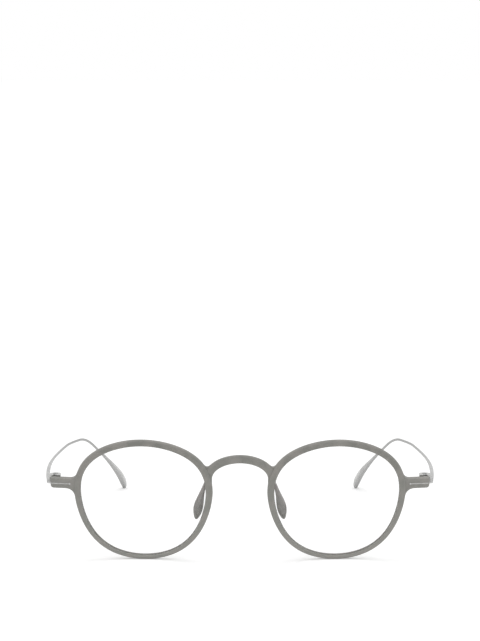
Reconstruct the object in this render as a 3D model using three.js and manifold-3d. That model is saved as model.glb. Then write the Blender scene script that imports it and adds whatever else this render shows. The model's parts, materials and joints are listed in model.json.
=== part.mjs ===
// Round eyeglasses, in millimetres.
// x runs across the face towards the wearer's left, y runs back to the ears and z points up.
import * as THREE from "three";
import { mergeVertices } from "three/addons/utils/BufferGeometryUtils.js";
import Module from "manifold-3d";

const wasm = await Module();
wasm.setup();

// Lens openings, seen square on
const lensWidth = 45.5;
const lensHeight = 41.6;
const lensGap = 24.7;
const lensRise = 3.26;
const fullnessShare = 0.012;
const lowerFullnessShare = -0.017;
const lensSpacing = lensWidth + lensGap;

// The front's lean and its bow around the face
const frontLean = THREE.MathUtils.degToRad(8);
const bowRadius = 500;

// Rims
const rimTop = 2.1;
const rimNasal = 2.5;
const rimTemporal = 2.25;
const rimBottom = 1.38;
const rimDepth = 2.3;
const rimOuterRound = 0.5;
const rimInnerRound = 0.3;
const grooveDepth = 0.5;
const grooveHalfWidth = 0.55;

// Bridge, which springs from the rims just clear of the lens openings
const bridgeInset = 2.25;
const bridgeHeightShare = 0.352;
const bridgeArch = 6;
const bridgeWidth = 2.93;
const bridgeRecess = 0.3;
const bridgeRound = 0.5;
const bridgeLegLength = 2.5;
const notchFilletReach = 1.8;
const filletSink = 0.04;
const webInset = 0.15;
const bridgeHalfSpan = lensGap / 2 - bridgeInset;
const bridgeUnderside = lensHeight * bridgeHeightShare;

// End pieces, which carry the hinges
const endPieceLength = 10.9;
const endPieceMiddle = 5.81;
const endPieceHeight = 3.6;
const endPieceDepth = 3;
const endPieceRecess = 0.15;
const endPieceEdge = 0.3;
const endPieceUpperCorner = 0.5;
const endPieceLowerCorner = 1.1;
const upperFilletReach = 1.9;
const lowerFilletReach = 3.6;
const endPieceReach = lensGap / 2 + lensWidth + endPieceLength;

// Lenses
const lensThickness = 1.6;
const lensDome = 1.5;

// Nose pads
const padPinRadius = 0.35;
const padPinLength = 2.4;
const padPinHeightShare = 0.193;
const padGap = 0.33;
const padThickness = 0.9;
const padWidth = 4.9;
const padStemWidth = 1.4;
const padLength = 16.3;
const padSpread = 4.8;
const padSetback = 1;
const padSplay = THREE.MathUtils.degToRad(43);
const padCurveShare = 0.64;
const padSwellShare = 2.37;
const padStemShare = 0.23;
const padEndShare = 36;

// Hinges, placed from the end pieces' outer ends
const hingeAxisInset = 1.4;
const tongueThickness = 0.36;
const tongueInset = 0.1;
const slitLength = 7;
const lockPinRadius = 0.35;
const lockPinInset = 0.08;
const leafRise = 2.4;
const leafDrop = 2.2;
const lowerLugRadius = 1.3;
const leafWall = 0.45;
const knuckleRadius = 2;
const knuckleHeight = 2.2;
const washerThickness = 0.2;
const washerRadius = 1.2;
const screwRadius = 0.55;
const screwHeadRadius = 0.9;
const screwHeadHeight = 0.4;
const screwHeadSunk = 0.2;
const screwHeadEdge = 0.1;
const driverNotchWidth = 1.1;
const screwSlotWidth = 0.3;
const screwSlotDepth = 0.25;
const axisX = endPieceReach - hingeAxisInset;
const slitReach = endPieceReach - slitLength;

// Temples
const armOffset = 2.69;
const armRadius = 0.5;
const armRootRadius = 0.72;
const armTaperStart = 20;
const armTaperLength = 42;
const armLevelLength = 97.85;
const armFall = THREE.MathUtils.degToRad(1);
const armBow = 2.41;
const armBowLength = 80;
const earBendRadius = 16.9;
const earBend = THREE.MathUtils.degToRad(39.4);
const tipInset = 20.85;
const tipInsetStart = 78;
const tipInsetLength = 68;
const tipSwellStart = 113.5;
const tipHalfHeight = 2.15;
const tipHalfThickness = 1.27;
const tipEndTaper = 2.5;
const tipEndShare = 0.86;
const tipEndLength = 1.8;
const tipEndSunk = 0.15;
const headHeight = 2.2;
const headInset = 0.3;
const headSide = 0.15;
const headBlockLength = 1.3;
const headEdge = 0.35;
const headEdgeShare = 0.33;
const headLength = 5.5;
const spigotRadius = 0.28;
const spigotLength = 2;
const blockRoundShare = 0.55;
const armReach = axisX + armOffset;
const tipSlope = armFall + earBend;

// Clearances
const pressClearance = 0.04;
const lensClearance = 0.05;
const runningClearance = 0.05;
const washerPlay = 0.05;
const swingClearance = 0.15;
const cutOverrun = 3;

// How finely round forms are stepped
const rimSteps = 64;
const bridgeSteps = 22;
const padSteps = 14;
const padSides = 12;
const armSteps = 56;
const armSides = 12;
const tipEndSteps = 4;
const headSteps = 6;
const headSides = 16;
const turnedSteps = 20;
const filletSteps = 5;
const searchSteps = 40;
const slopeStep = 0.001;

// Finishes
const satinGrey = new THREE.MeshStandardMaterial({ color: 0x8d8c88, roughness: 0.62, metalness: 0 });
const padGrey = new THREE.MeshStandardMaterial({ color: 0x8a8984, roughness: 0.5, metalness: 0 });
const titanium = new THREE.MeshStandardMaterial({ color: 0xc4c4c2, roughness: 0.28, metalness: 1 });
const steel = new THREE.MeshStandardMaterial({ color: 0xa9a9a8, roughness: 0.3, metalness: 1 });
const nylon = new THREE.MeshStandardMaterial({ color: 0xd9d8d2, roughness: 0.5, metalness: 0 });
const clearLens = new THREE.MeshStandardMaterial({
  color: 0xf4f7f7,
  roughness: 0.03,
  metalness: 0,
  transparent: true,
  opacity: 0.15,
});

// Solids

// Merges a closed geometry's vertices, turns its faces outwards and makes a solid of it.
function solidOf(geometry) {
  const bare = geometry.clone();
  bare.deleteAttribute("normal");
  bare.deleteAttribute("uv");
  const merged = mergeVertices(bare);
  const place = merged.getAttribute("position");
  const corners = merged.getIndex().array;
  const faces = [];
  let volume = 0;
  const [first, second, third] = [new THREE.Vector3(), new THREE.Vector3(), new THREE.Vector3()];
  for (let i = 0; i < corners.length; i += 3) {
    const [a, b, c] = [corners[i], corners[i + 1], corners[i + 2]];
    if (a === b || b === c || c === a) continue;
    first.fromBufferAttribute(place, a);
    second.fromBufferAttribute(place, b);
    third.fromBufferAttribute(place, c);
    volume += first.dot(second.cross(third));
    faces.push([a, b, c]);
  }
  const outward = faces.flatMap(([a, b, c]) => (volume > 0 ? [a, b, c] : [a, c, b]));
  const mesh = new wasm.Mesh({
    numProp: 3,
    vertProperties: new Float32Array(place.array),
    triVerts: new Uint32Array(outward),
  });
  return new wasm.Manifold(mesh);
}

function geometryOf(solid) {
  const mesh = solid.getMesh();
  const geometry = new THREE.BufferGeometry();
  geometry.setAttribute("position", new THREE.BufferAttribute(mesh.vertProperties, 3));
  geometry.setIndex(new THREE.BufferAttribute(mesh.triVerts, 1));
  geometry.computeVertexNormals();
  return geometry;
}

// Skins a row of equal rings of points: closed on itself, or capped by a point at each end.
function loft(rings, startPoint = null, endPoint = null) {
  const size = rings[0].length;
  const points = rings.flat();
  const faces = [];
  const bands = startPoint ? rings.length - 1 : rings.length;
  for (let i = 0; i < bands; i++) {
    const near = i * size;
    const far = ((i + 1) % rings.length) * size;
    for (let j = 0; j < size; j++) {
      const next = (j + 1) % size;
      faces.push(near + j, near + next, far + next);
      faces.push(near + j, far + next, far + j);
    }
  }
  if (startPoint) {
    const lastRing = (rings.length - 1) * size;
    points.push(startPoint, endPoint);
    for (let j = 0; j < size; j++) {
      const next = (j + 1) % size;
      faces.push(points.length - 2, next, j);
      faces.push(points.length - 1, lastRing + j, lastRing + next);
    }
  }
  const geometry = new THREE.BufferGeometry().setFromPoints(points);
  geometry.setIndex(faces);
  return geometry;
}

function block(low, high) {
  const size = new THREE.Vector3().subVectors(high, low);
  const middle = new THREE.Vector3().addVectors(low, high).multiplyScalar(0.5);
  const box = new THREE.BoxGeometry(size.x, size.y, size.z);
  return box.translate(middle.x, middle.y, middle.z);
}

// A solid of revolution about a vertical line; the profile lists radius and height.
function turned(profile, x, y, z) {
  const points = profile.map(([radius, height]) => new THREE.Vector2(radius, height));
  const geometry = new THREE.LatheGeometry(points, turnedSteps).rotateX(Math.PI / 2);
  return geometry.translate(x, y, z);
}

// A disc or pin between two heights on its axis
function pinProfile(radius, low, high) {
  return [[0, low], [radius, low], [radius, high], [0, high]];
}

// The front is drawn flat, as x, height and depth, then bowed around the face and leaned.
function onFront(point) {
  const depth = point.z + point.x ** 2 / (2 * bowRadius);
  const y = depth * Math.cos(frontLean) - point.y * Math.sin(frontLean);
  const z = depth * Math.sin(frontLean) + point.y * Math.cos(frontLean);
  return new THREE.Vector3(point.x, y, z);
}

function shapedToFront(geometry) {
  const shaped = geometry.clone();
  const place = shaped.getAttribute("position");
  const point = new THREE.Vector3();
  for (let i = 0; i < place.count; i++) {
    point.fromBufferAttribute(place, i);
    place.setXYZ(i, ...onFront(point).toArray());
  }
  return shaped;
}

const frontSolid = (geometry) => solidOf(shapedToFront(geometry));

// A pin or hole along the depth of the flat front
function depthPin(x, height, radius, near, far) {
  const pin = new THREE.CylinderGeometry(radius, radius, far - near, turnedSteps);
  return pin.rotateX(Math.PI / 2).translate(x, height, (near + far) / 2);
}

// Lens outline: an ellipse whose sides sit higher than its middle and are slightly full
function openingPoint(angle) {
  const fullness = fullnessShare + lowerFullnessShare * Math.sin(angle);
  const across = (1 + fullness) * Math.cos(angle) - fullness * Math.cos(3 * angle);
  const up = (1 + fullness) * Math.sin(angle) + fullness * Math.sin(3 * angle);
  const x = lensSpacing / 2 + (lensWidth / 2) * across;
  const height = lensRise * Math.cos(angle) ** 2 + (lensHeight / 2) * up;
  return new THREE.Vector2(x, height);
}

// The same outline moved outwards by an offset
function outline(angle, offset) {
  const ahead = openingPoint(angle + slopeStep);
  const behind = openingPoint(angle - slopeStep);
  const along = ahead.sub(behind).normalize();
  const outward = new THREE.Vector2(along.y, -along.x);
  return openingPoint(angle).addScaledVector(outward, offset);
}

function rimWidth(angle) {
  const side = Math.cos(angle) < 0 ? rimNasal : rimTemporal;
  const rise = Math.sin(angle);
  if (rise > 0) return side + (rimTop - side) * rise ** 2;
  return side + (rimBottom - side) * -rise;
}

const outerRim = (angle) => outline(angle, rimWidth(angle));

// The angle at which a side of the rim's outer edge reaches a height
function outerRimAngle(height, fromAngle, toAngle) {
  let [low, high] = [fromAngle, toAngle];
  for (let i = 0; i < searchSteps; i++) {
    const middle = (low + high) / 2;
    if (outerRim(middle).y < height) low = middle;
    else high = middle;
  }
  return (low + high) / 2;
}

const temporalAngle = (height) => outerRimAngle(height, -Math.PI / 2, Math.PI / 2);
const nasalAngle = (height) => outerRimAngle(height, (3 * Math.PI) / 2, Math.PI / 2);

const stepAngles = (steps) => Array.from({ length: steps }, (unused, i) => (i / steps) * 2 * Math.PI);

const grooveMiddle = rimDepth / 2;

// Rim: a rounded bar with a groove for the lens along its inner wall
function rimRing(angle) {
  const width = rimWidth(angle);
  const cut = rimOuterRound * (1 - Math.SQRT1_2);
  const section = [
    [0, rimInnerRound],
    [0, grooveMiddle - grooveHalfWidth],
    [grooveDepth, grooveMiddle],
    [0, grooveMiddle + grooveHalfWidth],
    [0, rimDepth - rimInnerRound],
    [rimInnerRound, rimDepth],
    [width - rimOuterRound, rimDepth],
    [width - cut, rimDepth - cut],
    [width, rimDepth - rimOuterRound],
    [width, rimOuterRound],
    [width - cut, cut],
    [width - rimOuterRound, 0],
    [rimInnerRound, 0],
  ];
  return section.map(([offset, depth]) => {
    const point = outline(angle, offset);
    return new THREE.Vector3(point.x, point.y, depth);
  });
}

const rimGeometry = loft(stepAngles(rimSteps).map(rimRing));

// Everything inside this wall is left to the rim and its lens.
function openingSolid(offset) {
  const wall = new THREE.Shape(stepAngles(rimSteps).map((angle) => outline(angle, offset)));
  const depth = endPieceDepth + 2 * cutOverrun;
  const prism = new THREE.ExtrudeGeometry(wall, { depth, bevelEnabled: false });
  return prism.translate(0, 0, -cutOverrun);
}

// Bridge: half an ellipse, as a rounded bar
function bridgePoint(angle, offset) {
  const [across, up] = [bridgeHalfSpan, bridgeArch];
  const outward = new THREE.Vector2(up * Math.cos(angle), across * Math.sin(angle)).normalize();
  const x = across * Math.cos(angle);
  const height = bridgeUnderside - bridgeArch + up * Math.sin(angle);
  return new THREE.Vector2(x, height).addScaledVector(outward, offset);
}

function bridgeRing(angle) {
  const cut = bridgeRound * (1 - Math.SQRT1_2);
  const front = bridgeRecess;
  const rear = rimDepth - bridgeRecess;
  const section = [
    [0, front + bridgeRound],
    [0, rear - bridgeRound],
    [cut, rear - cut],
    [bridgeRound, rear],
    [bridgeWidth - bridgeRound, rear],
    [bridgeWidth - cut, rear - cut],
    [bridgeWidth, rear - bridgeRound],
    [bridgeWidth, front + bridgeRound],
    [bridgeWidth - cut, front + cut],
    [bridgeWidth - bridgeRound, front],
    [bridgeRound, front],
    [cut, front + cut],
  ];
  return section.map(([offset, depth]) => {
    const point = bridgePoint(angle, offset);
    return new THREE.Vector3(point.x, point.y, depth);
  });
}

function bridgeGeometry() {
  const angles = Array.from({ length: bridgeSteps + 1 }, (unused, i) => (i / bridgeSteps) * Math.PI);
  const lowered = (ring) => ring.map((point) => point.clone().setY(point.y - bridgeLegLength));
  const rings = angles.map(bridgeRing);
  const legEnd = (angle) => {
    const point = bridgePoint(angle, bridgeWidth / 2);
    return new THREE.Vector3(point.x, point.y - bridgeLegLength, rimDepth / 2);
  };
  return loft([lowered(rings[0]), ...rings, lowered(rings[bridgeSteps])], legEnd(0), legEnd(Math.PI));
}

// A short step along an outline of points by angle
function directionAt(pointAt, angle) {
  return pointAt(angle + slopeStep).sub(pointAt(angle - slopeStep)).normalize();
}

// Where two straight lines meet
function meeting(first, firstWay, second, secondWay) {
  const between = second.clone().sub(first);
  return first.clone().addScaledVector(firstWay, between.cross(secondWay) / firstWay.cross(secondWay));
}

// Where the bridge's upper edge meets the rim, found by walking down the bridge
function bridgeNotch() {
  let [low, high] = [0, Math.PI / 2];
  for (let i = 0; i < searchSteps; i++) {
    const middle = (low + high) / 2;
    const point = bridgePoint(middle, bridgeWidth);
    const rim = outerRim(nasalAngle(point.y));
    if (point.x > rim.x) low = middle;
    else high = middle;
  }
  return (low + high) / 2;
}

// A web that fills the notch between bridge and rim with a hollow curve
function notchWeb() {
  const notch = bridgeNotch();
  const edge = (angle) => bridgePoint(angle, bridgeWidth - filletSink);
  const bridgeAngle = notch + notchFilletReach / bridgeHalfSpan;
  const rimAngle = nasalAngle(edge(notch).y + notchFilletReach);
  const start = edge(bridgeAngle);
  const end = outline(rimAngle, rimWidth(rimAngle) - filletSink);
  const corner = meeting(start, directionAt(edge, bridgeAngle), end, directionAt(outerRim, rimAngle));
  const root = bridgePoint(notch, bridgeWidth / 2);
  const shape = new THREE.Shape();
  shape.moveTo(start.x, start.y);
  shape.quadraticCurveTo(corner.x, corner.y, end.x, end.y);
  shape.lineTo(root.x + bridgeWidth / 2, root.y);
  const inset = bridgeRecess + webInset;
  const depth = rimDepth - 2 * inset;
  const options = { depth, bevelEnabled: false, curveSegments: filletSteps };
  return new THREE.ExtrudeGeometry(shape, options).translate(0, 0, inset);
}

// End piece: a bar that flares into the rim
function endPieceGeometry() {
  const top = endPieceMiddle + endPieceHeight / 2 - endPieceEdge;
  const bottom = endPieceMiddle - endPieceHeight / 2 + endPieceEdge;
  const tip = endPieceReach - endPieceEdge;
  const upperRound = endPieceUpperCorner - endPieceEdge;
  const lowerRound = endPieceLowerCorner - endPieceEdge;
  const inset = (point) => new THREE.Vector2(point.x - endPieceEdge, point.y);
  const upperCorner = inset(outerRim(temporalAngle(top)));
  const upperEnd = inset(outerRim(temporalAngle(top + upperFilletReach)));
  const lowerCorner = inset(outerRim(temporalAngle(bottom)));
  const lowerEnd = inset(outerRim(temporalAngle(bottom - lowerFilletReach)));
  const root = lensSpacing / 2 + lensWidth / 2;
  const shape = new THREE.Shape();
  shape.moveTo(root, upperEnd.y);
  shape.lineTo(root, lowerEnd.y);
  shape.lineTo(lowerEnd.x, lowerEnd.y);
  shape.quadraticCurveTo(lowerCorner.x, lowerCorner.y, lowerCorner.x + lowerFilletReach, bottom);
  shape.lineTo(tip - lowerRound, bottom);
  shape.absarc(tip - lowerRound, bottom + lowerRound, lowerRound, -Math.PI / 2, 0);
  shape.absarc(tip - upperRound, top - upperRound, upperRound, 0, Math.PI / 2);
  shape.lineTo(upperCorner.x + upperFilletReach, top);
  shape.quadraticCurveTo(upperCorner.x, upperCorner.y, upperEnd.x, upperEnd.y);
  const depth = endPieceDepth - endPieceRecess - 2 * endPieceEdge;
  const options = {
    depth,
    bevelEnabled: true,
    bevelThickness: endPieceEdge,
    bevelSize: endPieceEdge,
    bevelSegments: 2,
    curveSegments: filletSteps,
  };
  return new THREE.ExtrudeGeometry(shape, options).translate(0, 0, endPieceRecess + endPieceEdge);
}

function slitGeometry(thickness, inner, outer, near, far) {
  const low = new THREE.Vector3(inner, endPieceMiddle - thickness / 2, near);
  const high = new THREE.Vector3(outer, endPieceMiddle + thickness / 2, far);
  return block(low, high);
}

// The nose pad's pin sits in the middle of the rim's wall.
const padPinAngle = nasalAngle(lensHeight * padPinHeightShare);
const padPinPlace = outline(padPinAngle, (rimWidth(padPinAngle) + grooveDepth) / 2);

function padPinGeometry(clearance) {
  const near = rimDepth - padPinLength / 2 - clearance;
  const far = rimDepth + padPinLength / 2 + clearance;
  return depthPin(padPinPlace.x, padPinPlace.y, padPinRadius + clearance, near, far);
}

function frontHalf() {
  const wall = frontSolid(openingSolid(grooveDepth + rimInnerRound));
  const outer = frontSolid(endPieceGeometry());
  const body = outer.add(frontSolid(notchWeb())).subtract(wall).add(frontSolid(rimGeometry));
  const slitEnd = endPieceReach + cutOverrun;
  const slitRear = endPieceDepth + cutOverrun;
  const slitHeight = tongueThickness + 2 * pressClearance;
  const slit = frontSolid(slitGeometry(slitHeight, slitReach, slitEnd, -cutOverrun, slitRear));
  const lockHoleRadius = lockPinRadius + pressClearance;
  const lockHole = depthPin(slitReach, endPieceMiddle, lockHoleRadius, -cutOverrun, slitRear);
  return body.subtract(slit).subtract(frontSolid(lockHole));
}

// Lens: a domed shell whose bevelled edge fits the rim's groove
function lensGeometry() {
  const tip = grooveDepth - lensClearance;
  const [front, rear] = [grooveMiddle - lensThickness / 2, grooveMiddle + lensThickness / 2];
  const bevel = grooveHalfWidth - lensClearance;
  const edge = [
    [-lensClearance, front],
    [-lensClearance, grooveMiddle - bevel],
    [tip, grooveMiddle],
    [-lensClearance, grooveMiddle + bevel],
    [-lensClearance, rear],
  ];
  const centre = lensSpacing / 2;
  const edgeRing = ([offset, depth]) =>
    stepAngles(rimSteps).map((angle) => {
      const point = outline(angle, offset);
      return new THREE.Vector3(point.x, point.y, depth);
    });
  const domeRing = (share, depth) =>
    stepAngles(rimSteps).map((angle) => {
      const point = outline(angle, -lensClearance);
      const x = centre + (point.x - centre) * share;
      return new THREE.Vector3(x, point.y * share, depth - lensDome * (1 - share ** 2));
    });
  const ringShares = [0.35, 0.7];
  const rings = [
    ...ringShares.map((share) => domeRing(share, front)),
    ...edge.map(edgeRing),
    ...[...ringShares].reverse().map((share) => domeRing(share, rear)),
  ];
  const apex = (depth) => new THREE.Vector3(centre, 0, depth - lensDome);
  return loft(rings, apex(front), apex(rear));
}

// Nose pad: a leaf that hangs from its pin, splayed back and out, and thickens to a round stem
function padRing(fall) {
  const back = new THREE.Vector3(Math.sin(padSplay), 0, Math.cos(padSplay));
  const through = new THREE.Vector3(Math.cos(padSplay), 0, -Math.sin(padSplay));
  const swell = Math.sin(Math.PI * fall ** padSwellShare);
  const slimming = THREE.MathUtils.smoothstep(fall, 0, padStemShare);
  const endRound = Math.sqrt(1 - (2 * fall - 1) ** padEndShare);
  const halfWidth = ((padStemWidth + (padWidth - padStemWidth) * swell) / 2) * endRound;
  const halfThickness = ((padStemWidth + (padThickness - padStemWidth) * slimming) / 2) * endRound;
  return stepAngles(padSides).map((angle) =>
    padMiddle(fall, halfWidth)
      .addScaledVector(back, halfWidth * Math.cos(angle))
      .addScaledVector(through, halfThickness * Math.sin(angle)),
  );
}

// The leaf's middle line: its front edge hangs behind the rim.
function padMiddle(fall, halfWidth) {
  const pinFall = padStemWidth / 2 / padLength;
  return new THREE.Vector3(
    padPinPlace.x + padSpread * Math.max(fall - pinFall, 0) ** padCurveShare,
    padPinPlace.y + padStemWidth / 2 - padLength * fall,
    rimDepth + padGap + padSetback * fall + halfWidth * Math.cos(padSplay),
  );
}

function padGeometry() {
  const halfTurns = Array.from({ length: padSteps - 1 }, (unused, i) => (Math.PI * (i + 1)) / padSteps);
  const falls = halfTurns.map((angle) => (1 - Math.cos(angle)) / 2);
  return loft(falls.map(padRing), padMiddle(0, 0), padMiddle(1, 0));
}

const padSolid = () => frontSolid(padGeometry()).subtract(frontSolid(padPinGeometry(pressClearance)));

// Hinge: its vertical axis stands behind the end piece, clear of the leaf's wall.
const leafFoot = new THREE.Vector3(axisX, endPieceMiddle - leafDrop, endPieceDepth);
const leafRear = onFront(leafFoot).y + pressClearance + leafWall;
const axisY = leafRear + swingClearance + knuckleRadius;
const axisZ = onFront(new THREE.Vector3(axisX, endPieceMiddle, endPieceDepth / 2)).z;
const leafReach = leafRise + leafDrop;
const lugGap = knuckleHeight + 2 * washerThickness + 4 * washerPlay;

function onAxis(profile) {
  return turned(profile, axisX, axisY, axisZ);
}

// A plate round the axis that reaches forward to the end piece
function lug(radius, low, high) {
  const round = solidOf(onAxis(pinProfile(radius, low, high)));
  const corner = new THREE.Vector3(axisX - radius, leafRear - leafReach, axisZ + low);
  const far = new THREE.Vector3(axisX + radius, axisY, axisZ + high);
  return round.add(solidOf(block(corner, far)));
}

function leafSolid() {
  const inner = axisX - knuckleRadius;
  const outer = endPieceReach - endPieceEdge;
  const low = new THREE.Vector3(inner, leafRear - leafReach, axisZ - leafDrop);
  const high = new THREE.Vector3(outer, leafRear, axisZ + leafRise);
  const wall = solidOf(block(low, high));
  const lugs = lug(knuckleRadius, lugGap / 2, leafRise).add(lug(lowerLugRadius, -leafDrop, -lugGap / 2));
  const far = endPieceReach + knuckleRadius + cutOverrun;
  const ahead = new THREE.Vector3(inner - cutOverrun, endPieceMiddle - leafReach * 2, -leafReach);
  const behind = new THREE.Vector3(far, endPieceMiddle + leafReach * 2, endPieceDepth + pressClearance);
  const frontSpace = frontSolid(block(ahead, behind));
  const tongueStart = slitReach + lockPinRadius / 2;
  const tongueRear = endPieceDepth + pressClearance + leafWall / 2;
  const tongue = frontSolid(slitGeometry(tongueThickness, tongueStart, outer, tongueInset, tongueRear));
  const pinRoom = lockPinRadius + pressClearance;
  const lockNotch = depthPin(slitReach, endPieceMiddle, pinRoom, -cutOverrun, endPieceDepth + cutOverrun);
  const seat = leafRise - screwHeadSunk - screwHeadHeight - washerPlay;
  const screwHole = onAxis(pinProfile(screwRadius + runningClearance, -leafReach, leafReach));
  const headHole = onAxis(pinProfile(screwHeadRadius + runningClearance, seat, leafReach));
  const notchLow = new THREE.Vector3(axisX - driverNotchWidth / 2, axisY - leafReach, axisZ + seat);
  const notchHigh = new THREE.Vector3(axisX + driverNotchWidth / 2, axisY, axisZ + leafReach);
  const openings = [solidOf(screwHole), solidOf(headHole), solidOf(block(notchLow, notchHigh))];
  const body = wall.add(lugs).subtract(frontSpace).add(tongue).subtract(frontSolid(lockNotch));
  return openings.reduce((solid, opening) => solid.subtract(opening), body);
}

function lockPinGeometry() {
  const far = endPieceDepth - endPieceRecess;
  return depthPin(slitReach, endPieceMiddle, lockPinRadius, lockPinInset, far);
}

function screwSolid() {
  const headTop = leafRise - screwHeadSunk;
  const headSeat = headTop - screwHeadHeight;
  const profile = [
    [0, -leafDrop],
    [screwRadius, -leafDrop],
    [screwRadius, headSeat],
    [screwHeadRadius, headSeat],
    [screwHeadRadius, headTop - screwHeadEdge],
    [screwHeadRadius - screwHeadEdge, headTop],
    [0, headTop],
  ];
  const reach = screwHeadRadius * 2;
  const slotFloor = headTop - screwSlotDepth;
  const low = new THREE.Vector3(axisX - reach, axisY - screwSlotWidth / 2, axisZ + slotFloor);
  const high = new THREE.Vector3(axisX + reach, axisY + screwSlotWidth / 2, axisZ + leafRise);
  return solidOf(onAxis(profile)).subtract(solidOf(block(low, high)));
}

function washerGeometry(middle) {
  const inner = screwRadius + runningClearance;
  const low = middle - washerThickness / 2;
  const high = middle + washerThickness / 2;
  const profile = [[inner, low], [washerRadius, low], [washerRadius, high], [inner, high]];
  return onAxis([...profile, profile[0]]);
}

// Temple arm: its centre line by distance along the arm
function armPoint(distance) {
  const arc = earBendRadius * earBend;
  const level = Math.min(distance, armLevelLength);
  const bent = Math.min(Math.max(distance - armLevelLength, 0), arc);
  const drop = Math.max(distance - armLevelLength - arc, 0);
  const turn = bent / earBendRadius;
  const slope = armFall + turn;
  const run = level * Math.cos(armFall) + earBendRadius * (Math.sin(slope) - Math.sin(armFall));
  const fall = level * Math.sin(armFall) + earBendRadius * (Math.cos(armFall) - Math.cos(slope));
  const bow = armBow * Math.sin(Math.PI * Math.min(distance / armBowLength, 1));
  const insetEnd = tipInsetStart + tipInsetLength;
  const inset = tipInset * THREE.MathUtils.smoothstep(distance, tipInsetStart, insetEnd);
  return new THREE.Vector3(
    armReach + bow - inset,
    axisY + run + drop * Math.cos(slope),
    axisZ - fall - drop * Math.sin(slope),
  );
}

// The arm ends where its tip's rounded end touches the surface that the rims stand on.
function armLength(floor) {
  const endFall = tipHalfHeight * tipEndShare * Math.cos(tipSlope);
  const endDrop = Math.hypot(endFall, tipEndLength * Math.sin(tipSlope));
  let [low, high] = [armLevelLength, armLevelLength * 3];
  for (let i = 0; i < searchSteps; i++) {
    const middle = (low + high) / 2;
    if (armPoint(middle).z > floor + endDrop - tipEndSunk) low = middle;
    else high = middle;
  }
  return low;
}

// The arm's directions at a distance: along it, across it and up from it
function armFrame(distance) {
  const along = armPoint(distance + slopeStep).sub(armPoint(distance - slopeStep)).normalize();
  const across = new THREE.Vector3(1, 0, 0).addScaledVector(along, -along.x).normalize();
  const up = new THREE.Vector3().crossVectors(across, along);
  return { along, across, up };
}

// An oval round the arm's centre line
function armRing(distance, halfWidth, halfHeight) {
  const { across, up } = armFrame(distance);
  return stepAngles(armSides).map((angle) =>
    armPoint(distance)
      .addScaledVector(across, halfWidth * Math.cos(angle))
      .addScaledVector(up, halfHeight * Math.sin(angle)),
  );
}

// The spigot that joins the arm to its head, with room round it where it is a hole
function spigotGeometry(clearance) {
  const radius = spigotRadius + clearance;
  const { along } = armFrame(headLength);
  const pin = new THREE.CylinderGeometry(radius, radius, 2 * (spigotLength + clearance), armSides);
  const turn = new THREE.Quaternion().setFromUnitVectors(new THREE.Vector3(0, 1, 0), along);
  const seat = armPoint(headLength);
  return pin.applyQuaternion(turn).translate(seat.x, seat.y, seat.z);
}

// The wire's radius at a distance: stouter at its root than further back
function wireRadius(distance) {
  const thinning = THREE.MathUtils.smoothstep(distance, armTaperStart, armTaperStart + armTaperLength);
  return THREE.MathUtils.lerp(armRootRadius, armRadius, thinning);
}

// Half the arm's thickness and half its height at a distance: a wire that swells into its tip
function armSection(distance, endCentre) {
  const taperStart = endCentre - tipEndTaper;
  const swelling = THREE.MathUtils.smoothstep(distance, tipSwellStart, taperStart);
  const taper = THREE.MathUtils.smoothstep(distance, taperStart, endCentre);
  const share = THREE.MathUtils.lerp(1, tipEndShare, taper);
  return [tipHalfThickness, tipHalfHeight].map((half) =>
    share * THREE.MathUtils.lerp(wireRadius(distance), half, swelling),
  );
}

function armSolid(floor) {
  const start = headLength + runningClearance;
  const endCentre = armLength(floor);
  const rings = [];
  for (let i = 0; i <= armSteps; i++) {
    const distance = start + ((endCentre - start) * i) / armSteps;
    rings.push(armRing(distance, ...armSection(distance, endCentre)));
  }
  for (let i = 1; i < tipEndSteps; i++) {
    const turn = ((Math.PI / 2) * i) / tipEndSteps;
    const halves = armSection(endCentre, endCentre).map((half) => half * Math.cos(turn));
    rings.push(armRing(endCentre + tipEndLength * Math.sin(turn), ...halves));
  }
  const wire = solidOf(loft(rings, armPoint(start), armPoint(endCentre + tipEndLength)));
  const low = new THREE.Vector3(0, 0, floor - tipHalfHeight);
  const farY = armPoint(endCentre).y + cutOverrun;
  const high = new THREE.Vector3(armReach, farY, floor);
  return wire.add(solidOf(spigotGeometry(0))).subtract(solidOf(block(low, high)));
}

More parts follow.
